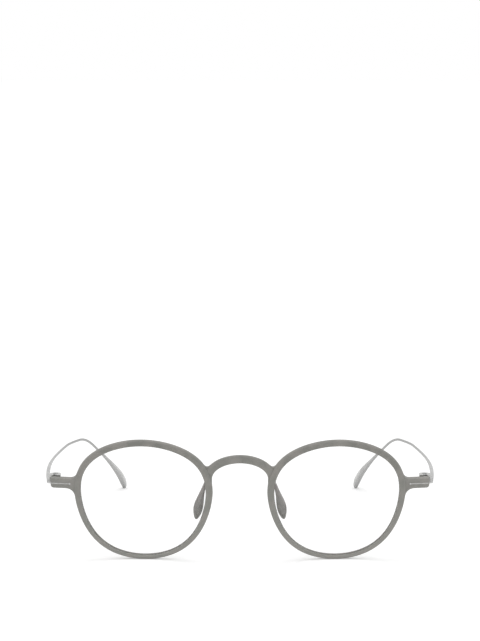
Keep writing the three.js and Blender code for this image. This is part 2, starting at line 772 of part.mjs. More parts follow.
// Temple head: a knuckle on the axis and a rounded block beside it that tapers to the wire
function headSolid() {
  const front = -knuckleRadius;
  const partEdge = front + headEdge * headEdgeShare;
  const distances = [front, partEdge, front + headEdge, 0, headBlockLength];
  for (let i = 1; i <= headSteps; i++) {
    distances.push(headBlockLength + ((headLength - headBlockLength) * i) / headSteps);
  }
  const rings = distances.map((distance) => {
    const taper = THREE.MathUtils.smoothstep(distance, headBlockLength, headLength);
    const edgeShare = Math.min((distance - front) / headEdge, 1);
    const round = headEdge * (1 - Math.sqrt(1 - (1 - edgeShare) ** 2));
    const outer = armRootRadius - headSide * (1 - taper) - round;
    const blockInner = axisX + headInset - armPoint(distance).x;
    const inner = blockInner + (-armRootRadius - blockInner) * taper;
    const halfHeight = headHeight / 2 + (armRootRadius - headHeight / 2) * taper - round;
    const { across, up } = armFrame(distance);
    const roundness = THREE.MathUtils.lerp(blockRoundShare, 1, taper);
    const soften = (value) => Math.sign(value) * Math.abs(value) ** roundness;
    return stepAngles(headSides).map((angle) =>
      armPoint(distance)
        .addScaledVector(across, (outer + inner) / 2 + ((outer - inner) / 2) * soften(Math.cos(angle)))
        .addScaledVector(up, halfHeight * soften(Math.sin(angle))),
    );
  });
  const centre = (distance) => {
    const blockInner = axisX + headInset - armPoint(distance).x;
    const inner = distance < headBlockLength ? blockInner : -armRootRadius;
    return armPoint(distance).addScaledVector(armFrame(distance).across, (armRootRadius + inner) / 2);
  };
  const side = solidOf(loft(rings, centre(front), centre(headLength)));
  const knuckle = solidOf(onAxis(pinProfile(knuckleRadius, -knuckleHeight / 2, knuckleHeight / 2)));
  const screwHole = solidOf(onAxis(pinProfile(screwRadius + runningClearance, -leafReach, leafReach)));
  return side.add(knuckle).subtract(screwHole).subtract(solidOf(spigotGeometry(runningClearance)));
}

// Mirrors a geometry to the wearer's other side.
function onSide(geometry, sign) {
  return geometryOf(solidOf(geometry.clone().scale(sign, 1, 1)));
}

// Takes a piece of the left side out of the solid, and its mirror image out of the right side.
function cutBothSides(solid, geometry) {
  return solid.subtract(solidOf(geometry)).subtract(solidOf(geometry.clone().scale(-1, 1, 1)));
}

// The front is one piece: both halves and the bridge between them.
function wholeFront() {
  const half = frontHalf();
  const otherHalf = solidOf(geometryOf(half).scale(-1, 1, 1));
  const wall = shapedToFront(openingSolid(grooveDepth + rimInnerRound));
  const bridge = cutBothSides(frontSolid(bridgeGeometry()), wall);
  return cutBothSides(half.add(otherHalf).add(bridge), shapedToFront(padPinGeometry(pressClearance)));
}

const frontGeometry = geometryOf(wholeFront());
frontGeometry.computeBoundingBox();
const floor = frontGeometry.boundingBox.min.z;

const glasses = new THREE.Group();

function place(name, geometry, material) {
  const mesh = new THREE.Mesh(geometry, material);
  mesh.name = name;
  glasses.add(mesh);
}

const washerMiddle = knuckleHeight / 2 + washerPlay + washerThickness / 2;
const sidePieces = [
  ["lens", geometryOf(frontSolid(lensGeometry())), clearLens],
  ["nose_pad", geometryOf(padSolid()), padGrey],
  ["nose_pad_pin", geometryOf(frontSolid(padPinGeometry(0))), steel],
  ["hinge_leaf", geometryOf(leafSolid()), titanium],
  ["hinge_lock_pin", geometryOf(frontSolid(lockPinGeometry())), titanium],
  ["hinge_screw", geometryOf(screwSolid()), steel],
  ["hinge_washer_upper", washerGeometry(washerMiddle), nylon],
  ["hinge_washer_lower", washerGeometry(-washerMiddle), nylon],
  ["temple_head", geometryOf(headSolid()), titanium],
  ["temple_arm", geometryOf(armSolid(floor)), titanium],
];

place("front_frame", frontGeometry, satinGrey);
for (const [name, geometry, material] of sidePieces) {
  place(`${name}_left`, onSide(geometry, 1), material);
  place(`${name}_right`, onSide(geometry, -1), material);
}

// The origin is under the middle of the whole object, on the surface that it stands on.
const whole = new THREE.Box3().setFromObject(glasses);
const middle = whole.getCenter(new THREE.Vector3());
glasses.position.set(-middle.x, -middle.y, -whole.min.z);

export default glasses;
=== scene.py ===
import json
import math

import bmesh
import bpy
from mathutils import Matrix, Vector

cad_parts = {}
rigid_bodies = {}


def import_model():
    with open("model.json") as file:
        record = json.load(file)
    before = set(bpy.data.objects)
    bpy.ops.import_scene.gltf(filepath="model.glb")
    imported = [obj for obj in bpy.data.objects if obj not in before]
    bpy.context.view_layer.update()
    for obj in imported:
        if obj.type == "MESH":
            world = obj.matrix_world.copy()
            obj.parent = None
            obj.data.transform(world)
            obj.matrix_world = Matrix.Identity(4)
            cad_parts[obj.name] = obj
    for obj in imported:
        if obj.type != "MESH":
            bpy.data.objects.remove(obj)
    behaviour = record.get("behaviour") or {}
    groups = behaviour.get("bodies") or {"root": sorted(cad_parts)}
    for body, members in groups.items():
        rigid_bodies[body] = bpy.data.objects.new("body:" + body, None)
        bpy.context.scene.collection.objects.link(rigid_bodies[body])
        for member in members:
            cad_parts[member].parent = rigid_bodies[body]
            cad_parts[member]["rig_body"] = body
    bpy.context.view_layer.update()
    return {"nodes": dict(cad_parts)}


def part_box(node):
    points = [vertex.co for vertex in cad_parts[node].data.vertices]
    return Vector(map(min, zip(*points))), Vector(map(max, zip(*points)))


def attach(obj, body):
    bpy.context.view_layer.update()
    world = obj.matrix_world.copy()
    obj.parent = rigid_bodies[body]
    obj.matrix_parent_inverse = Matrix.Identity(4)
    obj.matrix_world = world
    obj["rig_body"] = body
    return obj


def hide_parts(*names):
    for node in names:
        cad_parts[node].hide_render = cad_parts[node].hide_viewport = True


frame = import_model()
print("frame loaded:", len(frame["nodes"]), "nodes")

# The sizes of pieces are in millimetres and degrees. A piece is drawn in millimetres and put
# into the frame, in metres, when its shape is done. Finishes and the studio are in metres.
millimetre = 0.001
fullTurn = 2 * math.pi
edgeSteps = 3  # flat steps across a rounded edge

# steps for slopes and searches, and how close corners must be to count as one or as level
accuracy = {"slopeStep": 0.001, "halvings": 40, "loopWeld": 0.0001, "cutWeld": 0.001, "level": 0.001}


# small helpers for modelling
def pickOnly(piece):
    bpy.ops.object.select_all(action="DESELECT")
    piece.select_set(True)
    bpy.context.view_layer.objects.active = piece


def startEditing(piece):
    pickOnly(piece)
    bpy.ops.object.mode_set(mode="EDIT")
    bpy.ops.mesh.select_mode(type="EDGE")


def stopEditing():
    bpy.ops.object.mode_set(mode="OBJECT")


def placeLoop(piece, points, along):
    # moves the selected loop onto these points, by the number that each corner carries,
    # and keeps its place around and along the piece for finishes that follow the surface
    shape = bmesh.from_edit_mesh(piece.data)
    number = shape.verts.layers.int["number"]
    strand = shape.verts.layers.float_vector["strand"]
    for corner in shape.verts:
        if corner.select:
            corner.co = points[corner[number]]
            turn = fullTurn * corner[number] / len(points)
            corner[strand] = (math.cos(turn), math.sin(turn), along)
    bmesh.update_edit_mesh(piece.data)


def middleOf(points):
    return sum(points, Vector()) / len(points)


def skinned(name, rings, ends):
    # draws a circle onto the first ring of points and extrudes it from ring to ring, then
    # joins the last ring to the first, draws both ends together to a pole or fills them flat
    bpy.ops.object.select_all(action="DESELECT")
    bpy.ops.mesh.primitive_circle_add(vertices=len(rings[0]), radius=1, location=(0, 0, 0))
    piece = bpy.context.active_object
    piece.name = name
    startEditing(piece)
    bpy.ops.mesh.select_all(action="SELECT")
    shape = bmesh.from_edit_mesh(piece.data)
    number = shape.verts.layers.int.new("number")
    shape.verts.layers.float_vector.new("strand")
    for index, corner in enumerate(shape.verts):
        corner[number] = index
    along = 0
    placeLoop(piece, rings[0], along)
    for last, ring in zip(rings, rings[1:]):
        along += (middleOf(ring) - middleOf(last)).length
        bpy.ops.mesh.extrude_edges_move()
        placeLoop(piece, ring, along)
    if ends == "joined":
        bpy.ops.mesh.extrude_edges_move()
        placeLoop(piece, rings[0], along)
        bpy.ops.mesh.select_all(action="SELECT")
        bpy.ops.mesh.remove_doubles(threshold=accuracy["loopWeld"])
    else:
        bpy.ops.mesh.select_all(action="DESELECT")
        bpy.ops.mesh.select_non_manifold(extend=False)
        if ends == "pole":
            bpy.ops.mesh.extrude_edges_move()
            bpy.ops.mesh.merge(type="COLLAPSE")
        else:
            bpy.ops.mesh.select_all(action="SELECT")
            bpy.ops.mesh.fill_holes(sides=0)
    turnFacesOut()
    stopEditing()
    piece.data.attributes.remove(piece.data.attributes["number"])
    return piece


def turnFacesOut():
    bpy.ops.mesh.select_all(action="SELECT")
    bpy.ops.mesh.normals_make_consistent(inside=False)


def roundEnds(piece, edge):
    # rounds the edges round a piece's near and far ends
    startEditing(piece)
    bpy.ops.mesh.select_all(action="DESELECT")
    shape = bmesh.from_edit_mesh(piece.data)
    for line in shape.edges:
        start, end = line.verts
        line.select = abs(start.co.z - end.co.z) < accuracy["level"]
    bmesh.update_edit_mesh(piece.data)
    bpy.ops.mesh.bevel(offset=edge, segments=edgeSteps, affect="EDGES", clamp_overlap=True)
    stopEditing()


def slab(name, corners, near, far, edge=0):
    # a flat outline given a depth
    loops = [[Vector((x, height, depth)) for x, height in corners] for depth in (near, far)]
    piece = skinned(name, loops, "filled")
    if edge:
        roundEnds(piece, edge)
    return piece


def pin(name, middle, radius, near, far, sides, edge=0):
    # a round pin along the depth of the flat drawing
    bpy.ops.object.select_all(action="DESELECT")
    place = (middle[0], middle[1], (near + far) / 2)
    length = far - near
    bpy.ops.mesh.primitive_cylinder_add(vertices=sides, radius=radius, depth=length, location=place)
    bpy.ops.object.transform_apply(location=True, rotation=True, scale=True)
    piece = bpy.context.active_object
    piece.name = name
    if edge:
        roundEnds(piece, edge)
    return piece


def combine(piece, other, operation):
    pickOnly(piece)
    modifier = piece.modifiers.new(operation.lower(), "BOOLEAN")
    modifier.operation = operation
    modifier.solver = "EXACT"
    modifier.object = other
    bpy.ops.object.modifier_apply(modifier=modifier.name)
    bpy.data.objects.remove(other)


def mirrored(piece, name):
    # the same piece for the other side, with its own mesh
    pickOnly(piece)
    bpy.ops.object.duplicate()
    twin = bpy.context.active_object
    twin.name = name
    twin.data.name = name
    twin.scale.x = -1
    bpy.ops.object.transform_apply(location=False, rotation=False, scale=True)
    startEditing(twin)
    turnFacesOut()
    stopEditing()
    return twin


def withTwin(piece, node):
    # the left piece and its mirror image, each with the node that it stands for
    twin = mirrored(piece, piece.name.replace("Left", "Right"))
    return (piece, node + "_left"), (twin, node + "_right")


def setIntoFrame(piece, placeOf=None):
    # from millimetres to metres, through placeOf where a piece was drawn flat
    for corner in piece.data.vertices:
        place = placeOf(corner.co) if placeOf else corner.co
        corner.co = place * millimetre
    piece.data.update()


def shadeSmooth(piece, angle):
    pickOnly(piece)
    bpy.ops.object.shade_smooth_by_angle(angle=math.radians(angle))


def smoothUpTo(piece, angle):
    # smooth shading that keeps flat faces looking flat
    shadeSmooth(piece, angle)
    weighting = piece.modifiers.new("weighting", "WEIGHTED_NORMAL")
    weighting.keep_sharp = True
    bpy.ops.object.modifier_apply(modifier=weighting.name)


def markEdges(piece, fullAngle):
    # how much each corner sticks out or lies in a hollow, from 0 where it is flat to 1
    shape = bmesh.new()
    shape.from_mesh(piece.data)
    edges, hollows = [], []
    for corner in shape.verts:
        bends = [line.calc_face_angle_signed(0) for line in corner.link_edges] + [0]
        edges.append(min(max(bends) / math.radians(fullAngle), 1))
        hollows.append(min(-min(bends) / math.radians(fullAngle), 1))
    shape.free()
    for name, shares in (("edge", edges), ("hollow", hollows)):
        layer = piece.data.attributes.new(name, "FLOAT", "POINT")
        layer.data.foreach_set("value", shares)


copyForm = {
    "weld": 0.002, "flatAngle": 1, "roundingAngle": 50, "roundingSteps": 2, "smoothAngle": 40,
    "markAngle": 45,
}


def smoothCopy(node, name, edge):
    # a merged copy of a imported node, with its edges rounded and without the node's own values
    source = frame["nodes"][node]
    piece = source.copy()
    piece.data = source.data.copy()
    piece.name = name
    piece.parent = None
    for key in list(piece.keys()):
        del piece[key]
    bpy.context.scene.collection.objects.link(piece)
    piece.data.materials.clear()
    startEditing(piece)
    bpy.ops.mesh.select_all(action="SELECT")
    bpy.ops.mesh.remove_doubles(threshold=copyForm["weld"] * millimetre)
    bpy.ops.mesh.dissolve_limited(angle_limit=math.radians(copyForm["flatAngle"]))
    stopEditing()
    rounding = piece.modifiers.new("rounding", "BEVEL")
    rounding.width = edge * millimetre
    rounding.segments = copyForm["roundingSteps"]
    rounding.limit_method = "ANGLE"
    rounding.angle_limit = math.radians(copyForm["roundingAngle"])
    bpy.ops.object.modifier_apply(modifier=rounding.name)
    smoothUpTo(piece, copyForm["smoothAngle"])
    markEdges(piece, copyForm["markAngle"])
    return piece


def standsFor(piece, node, material):
    piece.data.materials.clear()
    piece.data.materials.append(material)
    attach(piece, frame["nodes"][node]["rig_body"])
    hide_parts(node)


# colours and node groups
def shade(red, green, blue):
    # a colour given as 0 to 255, as it should look on screen
    def linear(value):
        share = value / 255
        return share / 12.92 if share <= 0.04045 else ((share + 0.055) / 1.055) ** 2.4

    return (linear(red), linear(green), linear(blue), 1)


def newMaterial(name):
    material = bpy.data.materials.new(name)
    material.use_nodes = True
    tree = material.node_tree
    return material, tree, tree.nodes["Principled BSDF"]


def newGroup(name, inputs, outputs):
    # inputs and outputs give each socket's kind by its name
    tree = bpy.data.node_groups.new(name, "ShaderNodeTree")
    for way, sockets in (("INPUT", inputs), ("OUTPUT", outputs)):
        for socketName, kind in sockets.items():
            kind = "NodeSocket" + kind
            tree.interface.new_socket(name=socketName, in_out=way, socket_type=kind)
    return tree, tree.nodes.new("NodeGroupInput"), tree.nodes.new("NodeGroupOutput")


def supply(tree, socket, value):
    # value is a number, a colour or the socket that gives it
    if isinstance(value, bpy.types.NodeSocket):
        tree.links.new(value, socket)
    else:
        socket.default_value = value


def noiseOf(tree, place, scale, detail):
    noise = tree.nodes.new("ShaderNodeTexNoise")
    noise.inputs["Detail"].default_value = detail
    supply(tree, noise.inputs["Scale"], scale)
    tree.links.new(place, noise.inputs["Vector"])
    return noise.outputs["Fac"]


def spread(tree, value, low, high, kind="SMOOTHSTEP"):
    # stretches the part of a value between low and high to run from 0 to 1
    ramp = tree.nodes.new("ShaderNodeMapRange")
    ramp.interpolation_type = kind
    supply(tree, ramp.inputs["From Min"], low)
    supply(tree, ramp.inputs["From Max"], high)
    tree.links.new(value, ramp.inputs["Value"])
    return ramp.outputs["Result"]


def calculate(tree, operation, first, second):
    step = tree.nodes.new("ShaderNodeMath")
    step.operation = operation
    supply(tree, step.inputs[0], first)
    supply(tree, step.inputs[1], second)
    return step.outputs[0]


def blendOf(tree, share, first, second, kind):
    # a colour (RGBA) or a number (FLOAT) between two others
    mixing = tree.nodes.new("ShaderNodeMix")
    mixing.data_type = kind
    sockets = [socket for socket in mixing.inputs if socket.enabled]
    tree.links.new(share, sockets[0])
    tree.links.new(first, sockets[1])
    tree.links.new(second, sockets[2])
    return next(socket for socket in mixing.outputs if socket.enabled)


def attributeOf(tree, name, output="Fac"):
    attribute = tree.nodes.new("ShaderNodeAttribute")
    attribute.attribute_name = name
    return attribute.outputs[output]


patchNoise = {"detail": 3, "low": 0.36, "high": 0.64}


def softPatches():
    # cloudy patches of a second colour, as tumbled acetate and cast nylon show
    tree, start, finish = newGroup(
        "softPatches",
        {"Place": "Vector", "Colour": "Color", "Patch Colour": "Color", "Patch Scale": "Float",
         "Patch Share": "Float"},
        {"Colour": "Color"},
    )
    place, scale = start.outputs["Place"], start.outputs["Patch Scale"]
    cloud = noiseOf(tree, place, scale, patchNoise["detail"])
    patch = spread(tree, cloud, patchNoise["low"], patchNoise["high"])
    patch = calculate(tree, "MULTIPLY", patch, start.outputs["Patch Share"])
    colour = blendOf(tree, patch, start.outputs["Colour"], start.outputs["Patch Colour"], "RGBA")
    tree.links.new(colour, finish.inputs["Colour"])
    return tree


grainNoise = {"detail": 3, "coarserScale": 0.15, "coarserDetail": 2, "low": 0.3, "high": 0.7}


def fineGrain():
    # the fine tooth of a tumbled or blasted surface, and the sheen that goes with it
    tree, start, finish = newGroup(
        "fineGrain",
        {"Place": "Vector", "Grain Scale": "Float", "Smooth": "Float", "Rough": "Float"},
        {"Roughness": "Float", "Height": "Float"},
    )
    place, scale = start.outputs["Place"], start.outputs["Grain Scale"]
    coarserScale = calculate(tree, "MULTIPLY", scale, grainNoise["coarserScale"])
    grain = noiseOf(tree, place, scale, grainNoise["detail"])
    coarser = noiseOf(tree, place, coarserScale, grainNoise["coarserDetail"])
    height = calculate(tree, "ADD", grain, coarser)
    tree.links.new(height, finish.inputs["Height"])
    share = spread(tree, coarser, grainNoise["low"], grainNoise["high"])
    roughness = blendOf(tree, share, start.outputs["Smooth"], start.outputs["Rough"], "FLOAT")
    tree.links.new(roughness, finish.inputs["Roughness"])
    return tree


lineNoise = {
    "scale": 1, "detail": 4, "low": 0.3, "high": 0.7,
    "bandScale": 0.2, "bandDetail": 2, "sheenLow": 0.7, "sheenHigh": 1.3,
}


def brushedLines():
    # fine lines along the direction in which the place handed in is scaled least
    tree, start, finish = newGroup(
        "brushedLines",
        {"Place": "Vector", "Colour": "Color", "Line Colour": "Color", "Smooth": "Float",
         "Rough": "Float"},
        {"Colour": "Color", "Roughness": "Float", "Height": "Float"},
    )
    place = start.outputs["Place"]
    lines = noiseOf(tree, place, lineNoise["scale"], lineNoise["detail"])
    bands = noiseOf(tree, place, lineNoise["bandScale"], lineNoise["bandDetail"])
    share = spread(tree, lines, lineNoise["low"], lineNoise["high"])
    colour = blendOf(tree, share, start.outputs["Colour"], start.outputs["Line Colour"], "RGBA")
    tree.links.new(colour, finish.inputs["Colour"])
    sheen = calculate(tree, "ADD", lines, bands)
    sheen = spread(tree, sheen, lineNoise["sheenLow"], lineNoise["sheenHigh"])
    roughness = blendOf(tree, sheen, start.outputs["Smooth"], start.outputs["Rough"], "FLOAT")
    tree.links.new(roughness, finish.inputs["Roughness"])
    tree.links.new(lines, finish.inputs["Height"])
    return tree


wearAndHighlightNoise = {"detail": 3, "low": 0.25, "high": 0.6}


def edgeWearAndPaintedLight():
    # edges lighter and smoother, as wear with a painted highlight, and hollows darker, as dirt with
    # painted shade, both broken up by fine noise
    tree, start, finish = newGroup(
        "edgeWearAndPaintedLight",
        {"Place": "Vector", "Colour": "Color", "Worn And Highlit Colour": "Color", "Hollow Colour": "Color",
         "Roughness": "Float", "Worn Roughness": "Float", "Wear And Highlight": "Float", "Wear And Highlight Scale": "Float",
         "Dirt And Shade": "Float"},
        {"Colour": "Color", "Roughness": "Float"},
    )
    place, scale = start.outputs["Place"], start.outputs["Wear And Highlight Scale"]
    wearAndHighlightBreakup = noiseOf(tree, place, scale, wearAndHighlightNoise["detail"])
    wearAndHighlightBreakup = spread(tree, wearAndHighlightBreakup, wearAndHighlightNoise["low"], wearAndHighlightNoise["high"])
    wornAndHighlit = calculate(tree, "MULTIPLY", attributeOf(tree, "edge"), wearAndHighlightBreakup)
    wornAndHighlit = calculate(tree, "MULTIPLY", wornAndHighlit, start.outputs["Wear And Highlight"])
    dirtAndShadeShare = calculate(tree, "MULTIPLY", attributeOf(tree, "hollow"), start.outputs["Dirt And Shade"])
    colour = blendOf(tree, wornAndHighlit, start.outputs["Colour"], start.outputs["Worn And Highlit Colour"], "RGBA")
    colour = blendOf(tree, dirtAndShadeShare, colour, start.outputs["Hollow Colour"], "RGBA")
    tree.links.new(colour, finish.inputs["Colour"])
    unworn, rubbed = start.outputs["Roughness"], start.outputs["Worn Roughness"]
    roughness = blendOf(tree, wornAndHighlit, unworn, rubbed, "FLOAT")
    tree.links.new(roughness, finish.inputs["Roughness"])
    return tree


def slowFade():
    # a colour that changes slowly from a lower to an upper level
    tree, start, finish = newGroup(
        "slowFade",
        {"Place": "Vector", "Colour": "Color", "Upper Colour": "Color", "Low": "Float",
         "High": "Float"},
        {"Colour": "Color"},
    )
    parts = tree.nodes.new("ShaderNodeSeparateXYZ")
    tree.links.new(start.outputs["Place"], parts.inputs[0])
    low, high = start.outputs["Low"], start.outputs["High"]
    share = spread(tree, parts.outputs["Z"], low, high, "LINEAR")
    colour = blendOf(tree, share, start.outputs["Colour"], start.outputs["Upper Colour"], "RGBA")
    tree.links.new(colour, finish.inputs["Colour"])
    return tree


groups = {
    "patches": softPatches(), "grain": fineGrain(), "lines": brushedLines(), "wearAndHighlight": edgeWearAndPaintedLight(),
    "fade": slowFade(),
}


def placed(tree, groupName, place, values):
    # a group in a material
    group = tree.nodes.new("ShaderNodeGroup")
    group.node_tree = groups[groupName]
    tree.links.new(place, group.inputs["Place"])
    for socketName, value in values.items():
        supply(tree, group.inputs[socketName], value)
    return group.outputs


def objectPlace(tree):
    return tree.nodes.new("ShaderNodeTexCoord").outputs["Object"]


def mapped(tree, place, scale):
    mapping = tree.nodes.new("ShaderNodeMapping")
    mapping.inputs["Scale"].default_value = scale
    tree.links.new(place, mapping.inputs["Vector"])
    return mapping.outputs["Vector"]


def raised(tree, surface, height, distance, strength):
    bump = tree.nodes.new("ShaderNodeBump")
    bump.inputs["Strength"].default_value = strength
    bump.inputs["Distance"].default_value = distance
    tree.links.new(height, bump.inputs["Height"])
    tree.links.new(bump.outputs["Normal"], surface.inputs["Normal"])


# tumbled acetate and cast nylon: cloudy patches under a fine tooth; edges lighter, as wear with a
# painted highlight, and hollows darker, as dirt with painted shade
satinLook = {
    "colour": shade(147, 147, 142), "upperColour": shade(127, 127, 122), "low": 0.004, "high": 0.046,
    "patchColour": shade(155, 151, 146), "patchScale": 190, "patchShare": 0.6,
    "patchPlace": "object", "patchStretch": (1, 1, 1),
    "wornAndHighlit": shade(152, 151, 147), "hollow": shade(112, 111, 107),
    "wearAndHighlight": 0.35, "wearAndHighlightScale": 700, "dirtAndShade": 0.3,
    "smooth": 0.6, "rough": 0.72, "wornRoughness": 0.5, "specular": 0.25,
    "grainScale": 7000, "grainDepth": 0.00002, "grainStrength": 0.25,
}
# on the nose pads, the lighter upper part and the lighter streaks along the leaf are a painted
# highlight
padLook = satinLook | {
    "colour": shade(130, 130, 126), "upperColour": shade(153, 150, 147), "low": 0.012, "high": 0.028,
    "patchColour": shade(166, 162, 159), "patchScale": 1,
    "patchPlace": "strand", "patchStretch": (0.9, 0.9, 0.08),
    "wearAndHighlight": 0, "dirtAndShade": 0, "smooth": 0.38, "rough": 0.5, "specular": 0.4,
}
nylonLook = satinLook | {
    "colour": shade(206, 205, 197), "upperColour": shade(212, 211, 203),
    "patchColour": shade(222, 221, 214), "patchScale": 900, "patchShare": 1,
    "wornAndHighlit": shade(226, 225, 220), "hollow": shade(160, 158, 150),
    "smooth": 0.35, "rough": 0.5, "specular": 0.5,
}


def softFinish(name, look):
    material, tree, surface = newMaterial(name)
    place = objectPlace(tree)
    flow = place if look["patchPlace"] == "object" else attributeOf(tree, "strand", "Vector")
    flow = mapped(tree, flow, look["patchStretch"])
    fade = placed(tree, "fade", place, {
        "Colour": look["colour"], "Upper Colour": look["upperColour"],
        "Low": look["low"], "High": look["high"],
    })
    patches = placed(tree, "patches", flow, {
        "Colour": fade["Colour"], "Patch Colour": look["patchColour"],
        "Patch Scale": look["patchScale"], "Patch Share": look["patchShare"],
    })
    grain = placed(tree, "grain", place, {
        "Grain Scale": look["grainScale"], "Smooth": look["smooth"], "Rough": look["rough"],
    })
    wornAndHighlit = placed(tree, "wearAndHighlight", place, {
        "Colour": patches["Colour"], "Worn And Highlit Colour": look["wornAndHighlit"], "Hollow Colour": look["hollow"],
        "Roughness": grain["Roughness"], "Worn Roughness": look["wornRoughness"],
        "Wear And Highlight": look["wearAndHighlight"], "Wear And Highlight Scale": look["wearAndHighlightScale"], "Dirt And Shade": look["dirtAndShade"],
    })
    tree.links.new(wornAndHighlit["Colour"], surface.inputs["Base Color"])
    tree.links.new(wornAndHighlit["Roughness"], surface.inputs["Roughness"])
    surface.inputs["Specular IOR Level"].default_value = look["specular"]
    raised(tree, surface, grain["Height"], look["grainDepth"], look["grainStrength"])
    return material


# titanium and steel: lines left by drawing, brushing or turning; edges lighter, as wear with a
# painted highlight, and hollows darker, as dirt with painted shade
wireLook = {
    "place": "strand", "scale": (14, 14, 0.25), "colour": shade(178, 178, 177),
    # the wire's lighter colour is a painted highlight along the tip's upper inner side, and lightens
    # the root all round
    "lineColour": shade(162, 162, 161), "wornAndHighlit": shade(200, 200, 199), "hollow": shade(92, 92, 91),
    "smooth": 0.34, "rough": 0.48, "wornRoughness": 0.3, "wearAndHighlight": 0.9, "wearAndHighlightScale": 220, "dirtAndShade": 0,
    "lineDepth": 0.00001, "lineStrength": 0.25,
}
headLook = wireLook | {
    "place": "object", "scale": (9000, 180, 9000), "colour": shade(168, 168, 167),
    "lineColour": shade(151, 151, 150), "wornAndHighlit": shade(216, 216, 215), "wearAndHighlightScale": 900, "dirtAndShade": 0.7,
}
leafLook = headLook | {
    "scale": (180, 9000, 9000), "colour": shade(182, 182, 180), "lineColour": shade(164, 164, 162),
    "wornAndHighlit": shade(206, 206, 204),
}
steelLook = headLook | {
    "scale": (180, 180, 9000), "colour": shade(150, 150, 149),
    "lineColour": shade(124, 124, 123), "hollow": shade(52, 52, 51), "wearAndHighlight": 0.6, "dirtAndShade": 1,
}


def metalFinish(name, look):
    material, tree, surface = newMaterial(name)
    place = objectPlace(tree)
    drawn = attributeOf(tree, "strand", "Vector") if look["place"] == "strand" else place
    lines = placed(tree, "lines", mapped(tree, drawn, look["scale"]), {
        "Colour": look["colour"], "Line Colour": look["lineColour"],
        "Smooth": look["smooth"], "Rough": look["rough"],
    })
    wornAndHighlit = placed(tree, "wearAndHighlight", place, {
        "Colour": lines["Colour"], "Worn And Highlit Colour": look["wornAndHighlit"], "Hollow Colour": look["hollow"],
        "Roughness": lines["Roughness"], "Worn Roughness": look["wornRoughness"],
        "Wear And Highlight": look["wearAndHighlight"], "Wear And Highlight Scale": look["wearAndHighlightScale"], "Dirt And Shade": look["dirtAndShade"],
    })
    tree.links.new(wornAndHighlit["Colour"], surface.inputs["Base Color"])
    tree.links.new(wornAndHighlit["Roughness"], surface.inputs["Roughness"])
    surface.inputs["Metallic"].default_value = 1
    raised(tree, surface, lines["Height"], look["lineDepth"], look["lineStrength"])
    return material


satinGrey = softFinish("satinGrey", satinLook)
padGrey = softFinish("padGrey", padLook)
nylon = softFinish("nylon", nylonLook)
wireTitanium = metalFinish("wireTitanium", wireLook)
headTitanium = metalFinish("headTitanium", headLook)
leafTitanium = metalFinish("leafTitanium", leafLook)
steel = metalFinish("steel", steelLook)

# clear lenses with the faintest smears
lensLook = {
    "colour": (1, 1, 1, 1), "smear": (0.97, 0.97, 0.97, 1), "smearScale": 60, "smearShare": 1,
    "smooth": 0.0, "rough": 0.02, "ior": 1.1,
}


def clearLens():
    material, tree, surface = newMaterial("clearLens")
    place = objectPlace(tree)
    smears = placed(tree, "patches", place, {
        "Colour": lensLook["colour"], "Patch Colour": lensLook["smear"],
        "Patch Scale": lensLook["smearScale"], "Patch Share": lensLook["smearShare"],
    })
    sheen = placed(tree, "grain", place, {
        "Grain Scale": lensLook["smearScale"], "Smooth": lensLook["smooth"],
        "Rough": lensLook["rough"],
    })
    tree.links.new(smears["Colour"], surface.inputs["Base Color"])
    tree.links.new(sheen["Roughness"], surface.inputs["Roughness"])
    surface.inputs["IOR"].default_value = lensLook["ior"]
    surface.inputs["Transmission Weight"].default_value = 1
    path = tree.nodes.new("ShaderNodeLightPath")
    through = tree.nodes.new("ShaderNodeBsdfTransparent")
    mixed = tree.nodes.new("ShaderNodeMixShader")
    tree.links.new(path.outputs["Is Shadow Ray"], mixed.inputs[0])
    tree.links.new(surface.outputs[0], mixed.inputs[1])
    tree.links.new(through.outputs[0], mixed.inputs[2])
    tree.links.new(mixed.outputs[0], tree.nodes["Material Output"].inputs["Surface"])
    return material


lensMaterial = clearLens()
print("materials made")

# the front is drawn flat, as x, height and depth, then bowed around the face and leaned
face = {"lean": 8, "bowRadius": 500, "back": -71.0844, "up": 21.7231}
lensForm = {
    "width": 45.5, "height": 41.6, "gap": 24.7, "rise": 3.26,
    "fullness": 0.012, "lowerFullness": -0.017,
    "thickness": 1.6, "dome": 1.5, "clearance": 0.05, "rings": 12, "smoothAngle": 20,
}
rimForm = {
    "top": 2.1, "nasal": 2.5, "temporal": 2.25, "bottom": 1.38, "depth": 2.3,
    "outerRound": 0.5, "innerRound": 0.3, "roundSteps": 4, "hold": 0.06,
    "grooveDepth": 0.5, "grooveHalf": 0.55, "steps": 144, "smoothAngle": 32, "markAngle": 22,
}
# how far the cutting shapes reach before and behind the front, and past its ends
cutReach = {"near": -3, "far": 6, "past": 3}
faceSlope = math.radians(face["lean"])
lensMiddle = (lensForm["width"] + lensForm["gap"]) / 2
grooveMiddle = rimForm["depth"] / 2
wallOffset = rimForm["grooveDepth"] + rimForm["innerRound"]


def onFace(point):
    depth = point.z + point.x**2 / (2 * face["bowRadius"])
    y = depth * math.cos(faceSlope) - point.y * math.sin(faceSlope)
    z = depth * math.sin(faceSlope) + point.y * math.cos(faceSlope)
    return Vector((point.x, y + face["back"], z + face["up"]))


def openingPoint(angle):
    # an ellipse whose sides sit higher than its middle and are slightly full
    fullness = lensForm["fullness"] + lensForm["lowerFullness"] * math.sin(angle)
    across = (1 + fullness) * math.cos(angle) - fullness * math.cos(3 * angle)
    up = (1 + fullness) * math.sin(angle) + fullness * math.sin(3 * angle)
    height = lensForm["rise"] * math.cos(angle) ** 2 + lensForm["height"] / 2 * up
    return Vector((lensMiddle + lensForm["width"] / 2 * across, height))


def directionAt(pointAt, place):
    step = accuracy["slopeStep"]
    return (pointAt(place + step) - pointAt(place - step)).normalized()


